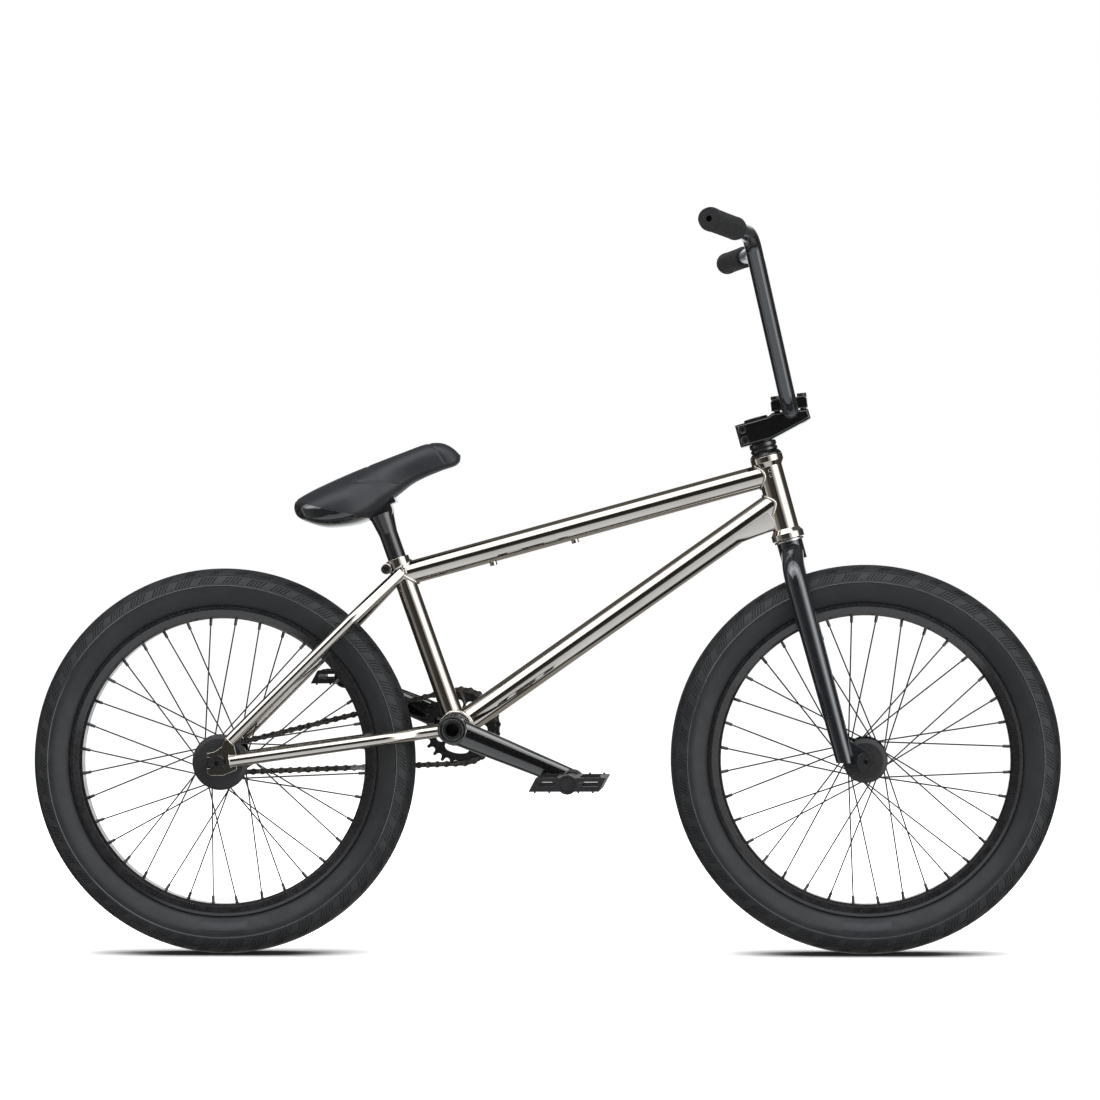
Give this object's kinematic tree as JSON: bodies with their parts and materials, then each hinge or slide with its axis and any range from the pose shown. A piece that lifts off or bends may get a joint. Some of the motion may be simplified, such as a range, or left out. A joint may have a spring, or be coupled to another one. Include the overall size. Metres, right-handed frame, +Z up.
{
  "type": "freestyle bicycle",
  "caption": "Freestyle bicycle with tubular frame, high-rise bars, top-load stem, tilted one-bolt seat, tubular cranks, platform pedals and spoked wheels",
  "frame": {"origin": "on the ground, midway between the two axles, on the centre plane", "axes": "+X forward, +Y to the rider's left (the drive side), +Z up"},
  "size_m": [1.394, 0.7566, 0.9752],
  "materials": {
    "frame_chrome": "dark smoked mirror plating",
    "black_paint": "deep gloss black",
    "black_alloy": "black anodised",
    "steel": "plain machined steel",
    "black_bolt": "black oxide",
    "chain_steel": "dark oiled steel",
    "link_silver": "bright joining link",
    "tyre_rubber": "matt charcoal rubber",
    "tube_rubber": "matt",
    "grip_rubber": "matt ribbed",
    "plastic": "moulded nylon",
    "gloss_plastic": "polished moulding",
    "seat_cover": "satin charcoal coated fabric"
  },
  "bodies": {
    "frame": {"head_tube": "frame_chrome", "top_tube": "frame_chrome", "down_tube": "frame_chrome", "seat_tube": "frame_chrome", "seat_clamp_bolt": "black_bolt", "bb_shell": "frame_chrome", "chainstays": "frame_chrome", "seatstays": "frame_chrome", "rear_dropouts": "frame_chrome", "headset_outer_races": "steel", "bb_outer_races": "steel", "rear_axle": "steel", "rear_axle_bolts": "black_bolt", "rear_hub_guard": "plastic", "chain_outer_links": "chain_steel", "chain_inner_links": "chain_steel", "chain_joining_link": "link_silver"},
    "post": {"seat_post": "black_alloy"},
    "seat": {"seat_base": "gloss_plastic", "seat_bolt": "black_bolt", "seat_pad": "seat_cover"},
    "fork": {"fork_steerer": "black_paint", "fork_legs": "black_paint", "headset_inner_races": "steel", "headset_spacers": "black_alloy", "stem_body": "black_paint", "stem_bar_clamp": "black_paint", "stem_bolts": "black_bolt", "fork_top_cap": "black_alloy", "handlebar": "black_paint", "grip_left": "grip_rubber", "grip_right": "grip_rubber", "bar_end_plugs": "plastic", "front_axle": "steel", "front_axle_bolts": "black_bolt", "front_hub_guards": "plastic"},
    "front_wheel": {"front_tyre": "tyre_rubber", "front_inner_tube": "tube_rubber", "front_rim": "black_alloy", "front_spokes": "black_bolt", "front_nipples": "black_alloy", "front_hub": "black_alloy", "front_hub_bearings": "steel"},
    "rear_wheel": {"rear_tyre": "tyre_rubber", "rear_inner_tube": "tube_rubber", "rear_rim": "black_alloy", "rear_spokes": "black_bolt", "rear_nipples": "black_alloy", "rear_hub": "black_alloy", "rear_hub_bearings": "steel"},
    "driver": {"rear_driver": "steel"},
    "cranks": {"crank_spindle": "black_alloy", "crank_arm_left": "black_paint", "crank_arm_right": "black_paint", "bb_spacers": "black_alloy", "sprocket": "black_alloy", "pedal_axles": "steel"},
    "pedal_l": {"pedal_left": "plastic"},
    "pedal_r": {"pedal_right": "plastic"}
  },
  "joints": [
    {"name": "steering", "type": "hinge", "parent": "frame", "child": "fork", "pos_m": [0.33396, 0, 0.55949], "axis": [-0.2588, 0, 0.9659], "continuous": true},
    {"name": "front_wheel_spin", "type": "hinge", "parent": "fork", "child": "front_wheel", "pos_m": [0.435, 0, 0.262], "axis": [0, 1, 0], "continuous": true},
    {"name": "rear_wheel_spin", "type": "hinge", "parent": "frame", "child": "rear_wheel", "pos_m": [-0.435, 0, 0.262], "axis": [0, 1, 0], "continuous": true},
    {"name": "crank_spin", "type": "hinge", "parent": "frame", "child": "cranks", "pos_m": [-0.11582, 0, 0.306], "axis": [0, 1, 0], "continuous": true, "deforming": ["chain_outer_links", "chain_inner_links", "chain_joining_link"]},
    {"name": "driver_spin", "type": "hinge", "parent": "frame", "child": "driver", "pos_m": [-0.435, 0, 0.262], "axis": [0, 1, 0], "continuous": true},
    {"name": "pedal_left_spin", "type": "hinge", "parent": "cranks", "child": "pedal_l", "pos_m": [-0.2775, 0, 0.37297], "axis": [0, 1, 0], "continuous": true},
    {"name": "pedal_right_spin", "type": "hinge", "parent": "cranks", "child": "pedal_r", "pos_m": [0.04585, 0, 0.23903], "axis": [0, 1, 0], "continuous": true},
    {"name": "seat_height", "type": "slide", "parent": "frame", "child": "post", "axis": [-0.3322, 0, 0.9432], "range_m": [-0.025, 0.06]},
    {"name": "seat_tilt", "type": "hinge", "parent": "post", "child": "seat", "pos_m": [-0.21936, 0, 0.6], "axis": [0, 1, 0], "range_deg": [-10, 10]}
  ],
  "couplings": [
    {"joint": "driver_spin", "follows": "crank_spin", "ratio": 2.7778}
  ]
}
